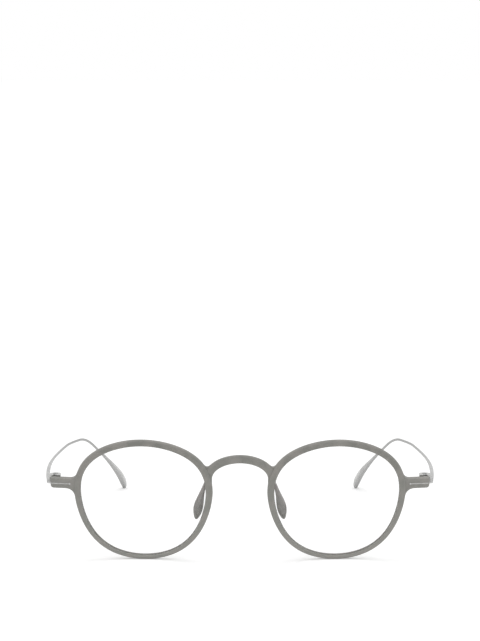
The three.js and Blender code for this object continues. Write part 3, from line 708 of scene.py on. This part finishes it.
def outline(angle, offset):
    along = directionAt(openingPoint, angle)
    return openingPoint(angle) + Vector((along.y, -along.x)) * offset


def rimWidth(angle):
    side = rimForm["nasal"] if math.cos(angle) < 0 else rimForm["temporal"]
    rise = math.sin(angle)
    if rise > 0:
        return side + (rimForm["top"] - side) * rise**2
    return side - (rimForm["bottom"] - side) * rise


def outerRim(angle):
    return outline(angle, rimWidth(angle))


def searched(low, high, isBefore):
    # halves the span over and over, to the place up to which isBefore holds
    for _ in range(accuracy["halvings"]):
        middle = (low + high) / 2
        if isBefore(middle):
            low = middle
        else:
            high = middle
    return (low + high) / 2


def temporalAngle(height):
    # where the rim's outer edge reaches a height on the side of the temple
    return searched(-math.pi / 2, math.pi / 2, lambda angle: outerRim(angle).y < height)


def nasalAngle(height):
    # and on the side of the nose
    return searched(3 * math.pi / 2, math.pi / 2, lambda angle: outerRim(angle).y < height)


def turnAngles(steps):
    return [index / steps * fullTurn for index in range(steps)]


def arcPoints(middle, radius, start, end, steps):
    points = []
    for index in range(steps + 1):
        angle = math.radians(start + (end - start) * index / steps)
        points.append((middle[0] + radius * math.cos(angle), middle[1] + radius * math.sin(angle)))
    return points


def rimSection(width):
    # the rim's cut face: rounded outside, with the lens groove in its inner wall
    depth, outer, inner = rimForm["depth"], rimForm["outerRound"], rimForm["innerRound"]
    hold, steps = rimForm["hold"], rimForm["roundSteps"]
    section = [(0, grooveMiddle - rimForm["grooveHalf"]), (rimForm["grooveDepth"], grooveMiddle)]
    section += [(0, grooveMiddle + rimForm["grooveHalf"])]
    section += arcPoints((inner, depth - inner), inner, 180, 90, steps)
    section += [(inner + hold, depth), (width - outer - hold, depth)]
    section += arcPoints((width - outer, depth - outer), outer, 90, 0, steps)
    section += [(width, depth - outer - hold), (width, outer + hold)]
    section += arcPoints((width - outer, outer), outer, 0, -90, steps)
    section += [(width - outer - hold, 0), (inner + hold, 0)]
    section += arcPoints((inner, inner), inner, -90, -180, steps)
    return section


def rimRing():
    angles = turnAngles(rimForm["steps"])
    sections = [rimSection(rimWidth(angle)) for angle in angles]
    loops = []
    for place in range(len(sections[0])):
        loop = []
        for angle, section in zip(angles, sections):
            offset, depth = section[place]
            loop.append(outline(angle, offset).to_3d() + Vector((0, 0, depth)))
        loops.append(loop)
    return skinned("rim", loops, "joined")


def lensWall(name):
    corners = [outline(angle, wallOffset) for angle in turnAngles(rimForm["steps"])]
    return slab(name, corners, cutReach["near"], cutReach["far"])


# end pieces, which flare into the rims and carry the hinges
endPiece = {
    "length": 10.9, "middle": 5.81, "height": 3.6, "depth": 3, "recess": 0.15, "edge": 0.3,
    "upperCorner": 0.5, "lowerCorner": 1.1, "upperFillet": 1.9, "lowerFillet": 3.6,
    "slitLength": 7, "slitHeight": 0.44, "lockRadius": 0.39, "lockSides": 24,
    "curveSteps": 10, "cornerSteps": 5,
}
endPieceReach = lensForm["gap"] / 2 + lensForm["width"] + endPiece["length"]
slitReach = endPieceReach - endPiece["slitLength"]


def hollowCurve(start, corner, end, steps):
    points = []
    for index in range(steps + 1):
        share = index / steps
        points.append(start * (1 - share) ** 2 + corner * 2 * share * (1 - share) + end * share**2)
    return points


def endPieceSlab():
    top = endPiece["middle"] + endPiece["height"] / 2
    bottom = endPiece["middle"] - endPiece["height"] / 2
    steps, cornerSteps = endPiece["curveSteps"], endPiece["cornerSteps"]
    lowerFrom = outerRim(temporalAngle(bottom - endPiece["lowerFillet"]))
    lowerTurn = outerRim(temporalAngle(bottom))
    upperFrom = outerRim(temporalAngle(top + endPiece["upperFillet"]))
    upperTurn = outerRim(temporalAngle(top))
    root = lensMiddle + lensForm["width"] / 2
    lower, upper = endPiece["lowerCorner"], endPiece["upperCorner"]
    lowerTo = Vector((lowerTurn.x + endPiece["lowerFillet"], bottom))
    upperTo = Vector((upperTurn.x + endPiece["upperFillet"], top))
    corners = [Vector((root, upperFrom.y)), Vector((root, lowerFrom.y))]
    corners += hollowCurve(lowerFrom, lowerTurn, lowerTo, steps)
    corners += arcPoints((endPieceReach - lower, bottom + lower), lower, -90, 0, cornerSteps)
    corners += arcPoints((endPieceReach - upper, top - upper), upper, 0, 90, cornerSteps)
    corners += hollowCurve(upperTo, upperTurn, upperFrom, steps)
    return slab("endPiece", corners, endPiece["recess"], endPiece["depth"], endPiece["edge"])


# bridge: half an ellipse, as a rounded bar with straight legs
bridgeForm = {
    "inset": 2.25, "underside": 14.6432, "arch": 6, "width": 2.93, "recess": 0.3, "round": 0.5,
    "leg": 2.5, "notchFillet": 1.8, "sink": 0.04, "webInset": 0.15,
    "steps": 48, "roundSteps": 4, "webSteps": 10,
}
bridgeSpan = lensForm["gap"] / 2 - bridgeForm["inset"]


def bridgePoint(angle, offset):
    arch = bridgeForm["arch"]
    outward = Vector((arch * math.cos(angle), bridgeSpan * math.sin(angle))).normalized()
    height = bridgeForm["underside"] - arch + arch * math.sin(angle)
    return Vector((bridgeSpan * math.cos(angle), height)) + outward * offset


def bridgeSection():
    near, far = bridgeForm["recess"], rimForm["depth"] - bridgeForm["recess"]
    width, soft, steps = bridgeForm["width"], bridgeForm["round"], bridgeForm["roundSteps"]
    section = arcPoints((soft, far - soft), soft, 180, 90, steps)
    section += arcPoints((width - soft, far - soft), soft, 90, 0, steps)
    section += arcPoints((width - soft, near + soft), soft, 0, -90, steps)
    section += arcPoints((soft, near + soft), soft, -90, -180, steps)
    return section


def bridgeBar():
    rings = []
    for index in range(bridgeForm["steps"] + 1):
        angle = index / bridgeForm["steps"] * math.pi
        ring = []
        for offset, depth in bridgeSection():
            ring.append(bridgePoint(angle, offset).to_3d() + Vector((0, 0, depth)))
        rings.append(ring)
    drop = Vector((0, bridgeForm["leg"], 0))
    rings.insert(0, [point - drop for point in rings[0]])
    rings.append([point - drop for point in rings[-1]])
    return skinned("bridge", rings, "filled")


def notchWeb():
    # fills the notch between bridge and rim with a hollow curve
    width, sink, fillet = bridgeForm["width"], bridgeForm["sink"], bridgeForm["notchFillet"]

    def isInRim(angle):
        point = bridgePoint(angle, width)
        return point.x > outerRim(nasalAngle(point.y)).x

    def edge(angle):
        return bridgePoint(angle, width - sink)

    meeting = searched(0, math.pi / 2, isInRim)
    bridgeAngle = meeting + fillet / bridgeSpan
    rimAngle = nasalAngle(edge(meeting).y + fillet)
    start, startWay = edge(bridgeAngle), directionAt(edge, bridgeAngle)
    end, endWay = outline(rimAngle, rimWidth(rimAngle) - sink), directionAt(outerRim, rimAngle)
    reach = (end - start).cross(endWay) / startWay.cross(endWay)
    root = bridgePoint(meeting, width / 2) + Vector((width / 2, 0))
    corners = hollowCurve(start, start + startWay * reach, end, bridgeForm["webSteps"]) + [root]
    inset = bridgeForm["recess"] + bridgeForm["webInset"]
    return slab("web", corners, inset, rimForm["depth"] - inset)


# the pins that carry the nose pads, and their holes in the rims
padPin = {"radius": 0.35, "length": 2.4, "height": 8.0288, "clearance": 0.04, "sides": 20}
padPinAngle = nasalAngle(padPin["height"])
padPinPlace = outline(padPinAngle, (rimWidth(padPinAngle) + rimForm["grooveDepth"]) / 2)


def halfFront():
    # a rim with its end piece, in which the slit and the lock pin's hole are cut
    half = endPieceSlab()
    combine(half, notchWeb(), "UNION")
    combine(half, lensWall("wall"), "DIFFERENCE")
    combine(half, rimRing(), "UNION")
    near, far = cutReach["near"], cutReach["far"]
    slitEdge = endPiece["slitHeight"] / 2
    low, high = endPiece["middle"] - slitEdge, endPiece["middle"] + slitEdge
    past = endPieceReach + cutReach["past"]
    slitCorners = [(slitReach, low), (past, low), (past, high), (slitReach, high)]
    combine(half, slab("slit", slitCorners, near, far), "DIFFERENCE")
    lockPlace, lockRadius = (slitReach, endPiece["middle"]), endPiece["lockRadius"]
    lockHole = pin("lockHole", lockPlace, lockRadius, near, far, endPiece["lockSides"])
    combine(half, lockHole, "DIFFERENCE")
    return half


def frontFrame():
    half = halfFront()
    bar = bridgeBar()
    wall = lensWall("wall")
    combine(bar, mirrored(wall, "otherWall"), "DIFFERENCE")
    combine(bar, wall, "DIFFERENCE")
    combine(bar, mirrored(half, "otherHalf"), "UNION")
    combine(bar, half, "UNION")
    reach = padPin["length"] / 2 + padPin["clearance"]
    near, far = rimForm["depth"] - reach, rimForm["depth"] + reach
    radius = padPin["radius"] + padPin["clearance"]
    hole = pin("padHole", padPinPlace, radius, near, far, padPin["sides"])
    combine(bar, mirrored(hole, "otherHole"), "DIFFERENCE")
    combine(bar, hole, "DIFFERENCE")
    bar.name = "frontFrame"
    setIntoFrame(bar, onFace)
    startEditing(bar)
    bpy.ops.mesh.select_all(action="SELECT")
    bpy.ops.mesh.remove_doubles(threshold=accuracy["cutWeld"] * millimetre)
    turnFacesOut()
    stopEditing()
    smoothUpTo(bar, rimForm["smoothAngle"])
    markEdges(bar, rimForm["markAngle"])
    standsFor(bar, "front_frame", satinGrey)


frontFrame()
print("front made")


# lenses: a domed shell whose bevelled edge sits in the rim's groove
def lensPiece():
    halfThickness, gap = lensForm["thickness"] / 2, lensForm["clearance"]
    near, far = grooveMiddle - halfThickness, grooveMiddle + halfThickness
    bevel = rimForm["grooveHalf"] - gap
    angles = turnAngles(rimForm["steps"])

    def flatLoop(offset, depth):
        return [outline(angle, offset).to_3d() + Vector((0, 0, depth)) for angle in angles]

    def domeLoop(share, depth):
        loop = []
        for angle in angles:
            point = outline(angle, -gap)
            x = lensMiddle + (point.x - lensMiddle) * share
            loop.append(Vector((x, point.y * share, depth - lensForm["dome"] * (1 - share**2))))
        return loop

    shares = [(index + 0.5) / lensForm["rings"] for index in range(lensForm["rings"])]
    loops = [domeLoop(share, near) for share in shares]
    edge = [(-gap, near), (-gap, grooveMiddle - bevel), (rimForm["grooveDepth"] - gap, grooveMiddle)]
    edge += [(-gap, grooveMiddle + bevel), (-gap, far)]
    loops += [flatLoop(offset, depth) for offset, depth in edge]
    loops += [domeLoop(share, far) for share in reversed(shares)]
    return skinned("lensLeft", loops, "pole")


for lens, node in withTwin(lensPiece(), "lens"):
    setIntoFrame(lens, onFace)
    shadeSmooth(lens, lensForm["smoothAngle"])
    standsFor(lens, node, lensMaterial)
print("lenses made")

# nose pads: leaves that hang from their pins, splayed back and out
padForm = {
    "gap": 0.33, "thickness": 0.9, "width": 4.9, "stem": 1.4, "length": 16.3, "spread": 4.8,
    "setback": 1, "splay": 43, "curve": 0.64, "swell": 2.37, "stemShare": 0.23, "endShare": 36,
    "steps": 34, "sides": 24,
}
padSlope = math.radians(padForm["splay"])


def smoothStep(value, low, high):
    share = min(max((value - low) / (high - low), 0), 1)
    return share * share * (3 - 2 * share)


def between(start, end, share):
    return start + (end - start) * share


def padMiddle(fall, halfWidth):
    pinFall = padForm["stem"] / 2 / padForm["length"]
    x = padPinPlace.x + padForm["spread"] * max(fall - pinFall, 0) ** padForm["curve"]
    height = padPinPlace.y + padForm["stem"] / 2 - padForm["length"] * fall
    depth = rimForm["depth"] + padForm["gap"] + padForm["setback"] * fall
    return Vector((x, height, depth + halfWidth * math.cos(padSlope)))


def padRing(fall):
    back = Vector((math.sin(padSlope), 0, math.cos(padSlope)))
    through = Vector((math.cos(padSlope), 0, -math.sin(padSlope)))
    endRound = math.sqrt(1 - (2 * fall - 1) ** padForm["endShare"])
    width = between(padForm["stem"], padForm["width"], math.sin(math.pi * fall ** padForm["swell"]))
    thinning = smoothStep(fall, 0, padForm["stemShare"])
    thickness = between(padForm["stem"], padForm["thickness"], thinning)
    halfWidth, halfThickness = width / 2 * endRound, thickness / 2 * endRound
    middle = padMiddle(fall, halfWidth)
    ring = []
    for angle in turnAngles(padForm["sides"]):
        place = middle + back * halfWidth * math.cos(angle)
        ring.append(place + through * halfThickness * math.sin(angle))
    return ring


def nosePad():
    steps = padForm["steps"]
    falls = [(1 - math.cos(math.pi * index / steps)) / 2 for index in range(1, steps)]
    return skinned("nosePadLeft", [padRing(fall) for fall in falls], "pole")


for pad, node in withTwin(nosePad(), "nose_pad"):
    setIntoFrame(pad, onFace)
    pickOnly(pad)
    bpy.ops.object.shade_smooth()
    standsFor(pad, node, padGrey)
print("nose pads made")

# temples: a wire that runs back, bends down over the ear and swells into its tip
armForm = {
    "reach": 70.04, "level": 97.85, "fall": 1, "bow": 2.408, "bowLength": 80,
    "bendRadius": 16.9, "bend": 39.4, "inset": 20.85, "insetStart": 78, "insetLength": 68,
    "radius": 0.5, "rootRadius": 0.72, "rootSunk": 0.2, "taperStart": 20, "taperLength": 42,
    "swellStart": 113.5, "tipHalfHeight": 2.15, "tipHalfThickness": 1.27, "endTaper": 2.5,
    "endShare": 0.86, "endLength": 1.797, "endSunk": 0.15,
    "steps": 120, "sides": 24, "endSteps": 8, "smoothAngle": 40,
    "highlightUp": 0.7, "highlightInwards": 0.7, "highlightFrom": -0.1, "highlightRun": 8,
    "rootLighter": 0.5, "rootLighterFull": 30, "rootLighterEnd": 90,
}
headForm = {
    "height": 2.2, "inset": 0.3, "side": 0.15, "block": 1.3, "length": 5.5, "roundShare": 0.55,
    "edge": 0.35, "edgeShares": (0.03, 0.15, 0.4, 0.7, 1), "steps": 12, "sides": 32,
    "knuckleRadius": 2, "knuckleHeight": 2.2, "knuckleEdge": 0.12, "knuckleSides": 48,
    "boreRadius": 0.6, "borePast": 2, "boreSides": 24, "smoothAngle": 40, "markAngle": 30,
}
screwLow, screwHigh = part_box("hinge_screw_left")
hingeAxis = (screwLow + screwHigh) / 2 / millimetre
armFall = math.radians(armForm["fall"])
earBend = math.radians(armForm["bend"])


def armPoint(distance):
    radius = armForm["bendRadius"]
    arc = radius * earBend
    level = min(distance, armForm["level"])
    turn = min(max(distance - armForm["level"], 0), arc) / radius
    drop = max(distance - armForm["level"] - arc, 0)
    slope = armFall + turn
    run = level * math.cos(armFall) + radius * (math.sin(slope) - math.sin(armFall))
    fall = level * math.sin(armFall) + radius * (math.cos(armFall) - math.cos(slope))
    bow = armForm["bow"] * math.sin(math.pi * min(distance / armForm["bowLength"], 1))
    insetEnd = armForm["insetStart"] + armForm["insetLength"]
    inset = armForm["inset"] * smoothStep(distance, armForm["insetStart"], insetEnd)
    y = hingeAxis.y + run + drop * math.cos(slope)
    return Vector((armForm["reach"] + bow - inset, y, hingeAxis.z - fall - drop * math.sin(slope)))


def armDirections(distance):
    along = directionAt(armPoint, distance)
    across = (Vector((1, 0, 0)) - along * along.x).normalized()
    return across, across.cross(along)


def armRing(distance, halfWidth, halfHeight):
    across, up = armDirections(distance)
    ring = []
    for angle in turnAngles(armForm["sides"]):
        place = armPoint(distance) + across * halfWidth * math.cos(angle)
        place += up * halfHeight * math.sin(angle)
        place.z = max(place.z, 0)
        ring.append(place)
    return ring


def armSection(distance, end):
    # half the wire's thickness and height: stouter at its root, and swelling into the tip
    rootTaperEnd = armForm["taperStart"] + armForm["taperLength"]
    thinning = smoothStep(distance, armForm["taperStart"], rootTaperEnd)
    radius = between(armForm["rootRadius"], armForm["radius"], thinning)
    endTaperStart = end - armForm["endTaper"]
    swelling = smoothStep(distance, armForm["swellStart"], endTaperStart)
    share = between(1, armForm["endShare"], smoothStep(distance, endTaperStart, end))
    thickness = share * between(radius, armForm["tipHalfThickness"], swelling)
    return thickness, share * between(radius, armForm["tipHalfHeight"], swelling)


def armEnd():
    # where the tip's rounded end just touches the floor
    slope = armFall + earBend
    endFall = armForm["tipHalfHeight"] * armForm["endShare"] * math.cos(slope)
    endDrop = math.hypot(endFall, armForm["endLength"] * math.sin(slope))
    level, lowest = armForm["level"], endDrop - armForm["endSunk"]
    return searched(level, level * 2, lambda distance: armPoint(distance).z > lowest)


def markBrightParts(arm, start):
    # the tip gets a painted highlight along its inner and upper side, and the root is lighter all
    # round
    swellStart, swellEnd = armForm["swellStart"], armForm["swellStart"] + armForm["highlightRun"]
    shares = []
    for place in arm.data.attributes["strand"].data:
        across, up, along = place.vector
        distance = start + along
        facing = up * armForm["highlightUp"] - across * armForm["highlightInwards"]
        onTip = smoothStep(distance, swellStart, swellEnd)
        fading = smoothStep(distance, armForm["rootLighterFull"], armForm["rootLighterEnd"])
        atRoot = armForm["rootLighter"] * (1 - fading)
        shares.append(smoothStep(facing, armForm["highlightFrom"], 1) * onTip + atRoot)
    layer = arm.data.attributes.new("edge", "FLOAT", "POINT")
    layer.data.foreach_set("value", shares)


def templeArm():
    start, end = headForm["length"] - armForm["rootSunk"], armEnd()
    rings = []
    for index in range(armForm["steps"] + 1):
        distance = between(start, end, index / armForm["steps"])
        rings.append(armRing(distance, *armSection(distance, end)))
    for index in range(1, armForm["endSteps"]):
        turn = math.pi / 2 * index / armForm["endSteps"]
        halves = [half * math.cos(turn) for half in armSection(end, end)]
        rings.append(armRing(end + armForm["endLength"] * math.sin(turn), *halves))
    arm = skinned("templeArmLeft", rings, "pole")
    markBrightParts(arm, start)
    return arm


def headRing(distance):
    # a block with rounded corners at the hinge, which turns into the round wire
    front, radius, edge = -headForm["knuckleRadius"], armForm["rootRadius"], headForm["edge"]
    taper = smoothStep(distance, headForm["block"], headForm["length"])
    edgeShare = min((distance - front) / edge, 1)
    soft = edge * (1 - math.sqrt(1 - (1 - edgeShare) ** 2))
    outer = radius - headForm["side"] * (1 - taper) - soft
    inner = between(hingeAxis.x + headForm["inset"] - armPoint(distance).x, -radius, taper)
    middle, halfWidth = (outer + inner) / 2, (outer - inner) / 2
    halfHeight = between(headForm["height"] / 2, radius, taper) - soft
    roundness = between(headForm["roundShare"], 1, taper)
    across, up = armDirections(distance)
    ring = []
    for angle in turnAngles(headForm["sides"]):
        sideways = math.copysign(abs(math.cos(angle)) ** roundness, math.cos(angle))
        upwards = math.copysign(abs(math.sin(angle)) ** roundness, math.sin(angle))
        place = armPoint(distance) + across * (middle + halfWidth * sideways)
        ring.append(place + up * halfHeight * upwards)
    return ring


def aboutHinge(name, radius, past, sides, edge=0):
    # a pin about the hinge's axis that reaches past the knuckle's ends
    reach = headForm["knuckleHeight"] / 2 + past
    return pin(name, hingeAxis.xy, radius, hingeAxis.z - reach, hingeAxis.z + reach, sides, edge)


def templeHead():
    front, block, length = -headForm["knuckleRadius"], headForm["block"], headForm["length"]
    distances = [front + headForm["edge"] * share for share in headForm["edgeShares"]]
    distances += [0, block]
    for index in range(headForm["steps"]):
        distances.append(between(block, length, (index + 1) / headForm["steps"]))
    head = skinned("templeHeadLeft", [headRing(distance) for distance in distances], "pole")
    radius, edge = headForm["knuckleRadius"], headForm["knuckleEdge"]
    knuckle = aboutHinge("knuckle", radius, 0, headForm["knuckleSides"], edge)
    combine(head, knuckle, "UNION")
    bore = aboutHinge("bore", headForm["boreRadius"], headForm["borePast"], headForm["boreSides"])
    combine(head, bore, "DIFFERENCE")
    return head


for arm, node in withTwin(templeArm(), "temple_arm"):
    setIntoFrame(arm)
    shadeSmooth(arm, armForm["smoothAngle"])
    standsFor(arm, node, wireTitanium)
for head, node in withTwin(templeHead(), "temple_head"):
    setIntoFrame(head)
    smoothUpTo(head, headForm["smoothAngle"])
    markEdges(head, headForm["markAngle"])
    standsFor(head, node, headTitanium)
print("temples made")

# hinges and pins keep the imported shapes, with edges rounded as wide as the last value says
hingePieces = {
    "hinge_leaf": ("hingeLeaf", "titanium", leafTitanium, 0.12),
    "hinge_lock_pin": ("lockPin", "titanium", headTitanium, 0.05),
    "hinge_screw": ("hingeScrew", "steel_pin", steel, 0.04),
    "hinge_washer_upper": ("upperWasher", "washer_nylon", nylon, 0.03),
    "hinge_washer_lower": ("lowerWasher", "washer_nylon", nylon, 0.03),
    "nose_pad_pin": ("padPin", "steel_pin", steel, 0.05),
}
for nodeStem, (pieceStem, slotName, material, edge) in hingePieces.items():
    for side in ("left", "right"):
        node = nodeStem + "_" + side
        piece = smoothCopy(node, pieceStem + side.title(), edge)
        standsFor(piece, node, material)
print("hinges made")

# floor, light and camera
studio = {
    "floorSize": 80,
    "floorColour": (0.9, 0.9, 0.9, 1),
    "white": (1, 1, 1, 1),
    "floorGlow": 0.2,
    "ambient": 0.9,
    "keyPower": 3,
    "keySize": 1.2,
    "keyPlace": (0, 0.5, 1.2),
}
view = {
    "place": (0, -0.85578, 0.17642), "pitchDown": 6.433, "lens": 123.9, "sensor": 36, "nearest": 0.01,
}


def seenRays(tree):
    # 1 for rays that show the background: seen straight, mirrored or through the lenses
    rays = tree.nodes.new("ShaderNodeLightPath").outputs
    seen = calculate(tree, "MAXIMUM", rays["Is Camera Ray"], rays["Is Glossy Ray"])
    return calculate(tree, "MAXIMUM", seen, rays["Is Transmission Ray"])


def litFloor():
    bpy.ops.object.select_all(action="DESELECT")
    bpy.ops.mesh.primitive_plane_add(size=studio["floorSize"], location=(0, 0, 0))
    floor = bpy.context.active_object
    floor.name = "floor"
    material, tree, surface = newMaterial("paleFloor")
    surface.inputs["Base Color"].default_value = studio["floorColour"]
    surface.inputs["Roughness"].default_value = 1
    surface.inputs["Specular IOR Level"].default_value = 0
    surface.inputs["Emission Color"].default_value = studio["white"]
    glow = calculate(tree, "MULTIPLY", seenRays(tree), studio["floorGlow"])
    tree.links.new(glow, surface.inputs["Emission Strength"])
    floor.data.materials.append(material)


def whiteWorld():
    world = bpy.data.worlds.new("whiteRoom")
    bpy.context.scene.world = world
    world.use_nodes = True
    tree = world.node_tree
    tree.nodes.clear()
    room = tree.nodes.new("ShaderNodeBackground")
    room.inputs["Color"].default_value = studio["white"]
    room.inputs["Strength"].default_value = studio["ambient"]
    white = tree.nodes.new("ShaderNodeBackground")
    white.inputs["Color"].default_value = studio["white"]
    mixed = tree.nodes.new("ShaderNodeMixShader")
    tree.links.new(seenRays(tree), mixed.inputs[0])
    tree.links.new(room.outputs[0], mixed.inputs[1])
    tree.links.new(white.outputs[0], mixed.inputs[2])
    output = tree.nodes.new("ShaderNodeOutputWorld")
    tree.links.new(mixed.outputs[0], output.inputs[0])


def keyLight():
    bpy.ops.object.light_add(type="AREA", location=studio["keyPlace"])
    lamp = bpy.context.active_object
    lamp.name = "keyLight"
    lamp.data.size = studio["keySize"]
    lamp.data.energy = studio["keyPower"]
    lamp.rotation_mode = "QUATERNION"
    lamp.rotation_quaternion = Vector(studio["keyPlace"]).to_track_quat("Z", "Y")


def photographCamera():
    bpy.ops.object.camera_add(location=view["place"])
    eye = bpy.context.active_object
    eye.rotation_euler = (math.radians(90 - view["pitchDown"]), 0, 0)
    eye.data.sensor_width = view["sensor"]
    eye.data.lens = view["lens"]
    eye.data.clip_start = view["nearest"]
    bpy.context.scene.camera = eye


litFloor()
whiteWorld()
keyLight()
photographCamera()
bpy.context.scene.view_settings.view_transform = "Standard"
print("studio made")
